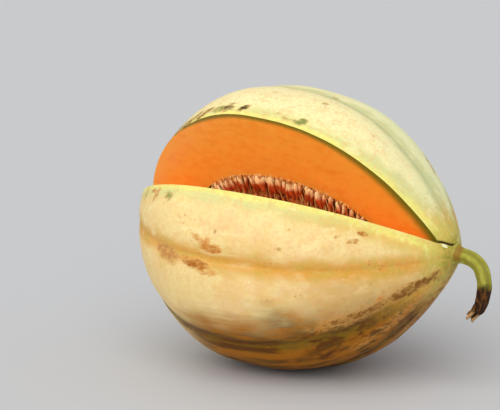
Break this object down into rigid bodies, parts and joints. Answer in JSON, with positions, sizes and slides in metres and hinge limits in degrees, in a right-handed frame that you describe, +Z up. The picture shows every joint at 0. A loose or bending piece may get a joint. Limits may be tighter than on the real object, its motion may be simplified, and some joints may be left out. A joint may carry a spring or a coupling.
{
  "type": "cantaloupe melon",
  "caption": "Oblong ribbed cantaloupe lying on its side, with a wedge cut out to show orange flesh, a seed cavity with its seeds, and a hooked stem.",
  "frame": {"origin": "centre of the small flat spot on the underside that the melon rests on", "axes": "+Z up, +X along the melon's long axis towards the stem, -Y towards the side that the wedge is cut out of"},
  "size_m": [0.1958, 0.1442, 0.1433],
  "materials": {
    "rind_and_flesh": "cream and yellow rind with olive grooves over orange flesh",
    "stem": "matt green with a dry brown end",
    "seed_pulp": "wet, red-brown to orange",
    "seed": "wet, pale salmon"
  },
  "bodies": {
    "root": {"melon_body": "rind_and_flesh", "stem": "stem", "seed_pulp": "seed_pulp", "upper_seed_01": "seed", "upper_seed_02": "seed", "upper_seed_03": "seed", "upper_seed_04": "seed", "upper_seed_05": "seed", "upper_seed_06": "seed", "upper_seed_07": "seed", "upper_seed_08": "seed", "upper_seed_09": "seed", "upper_seed_10": "seed", "upper_seed_11": "seed", "upper_seed_12": "seed", "upper_seed_13": "seed", "upper_seed_14": "seed", "upper_seed_15": "seed", "upper_seed_16": "seed", "upper_seed_17": "seed", "upper_seed_18": "seed", "upper_seed_19": "seed", "upper_seed_20": "seed", "upper_seed_21": "seed", "upper_seed_22": "seed", "upper_seed_23": "seed", "upper_seed_24": "seed", "upper_seed_25": "seed", "upper_seed_26": "seed", "upper_seed_27": "seed", "upper_seed_28": "seed", "lower_seed_01": "seed", "lower_seed_02": "seed", "lower_seed_03": "seed", "lower_seed_04": "seed", "lower_seed_05": "seed", "lower_seed_06": "seed", "lower_seed_07": "seed", "lower_seed_08": "seed", "lower_seed_09": "seed", "lower_seed_10": "seed", "lower_seed_11": "seed", "lower_seed_12": "seed", "lower_seed_13": "seed", "lower_seed_14": "seed", "lower_seed_15": "seed", "lower_seed_16": "seed", "lower_seed_17": "seed", "lower_seed_18": "seed", "lower_seed_19": "seed", "lower_seed_20": "seed", "lower_seed_21": "seed", "lower_seed_22": "seed", "lower_seed_23": "seed", "lower_seed_24": "seed", "lower_seed_25": "seed", "lower_seed_26": "seed", "lower_seed_27": "seed", "lower_seed_28": "seed"}
  },
  "joints": []
}
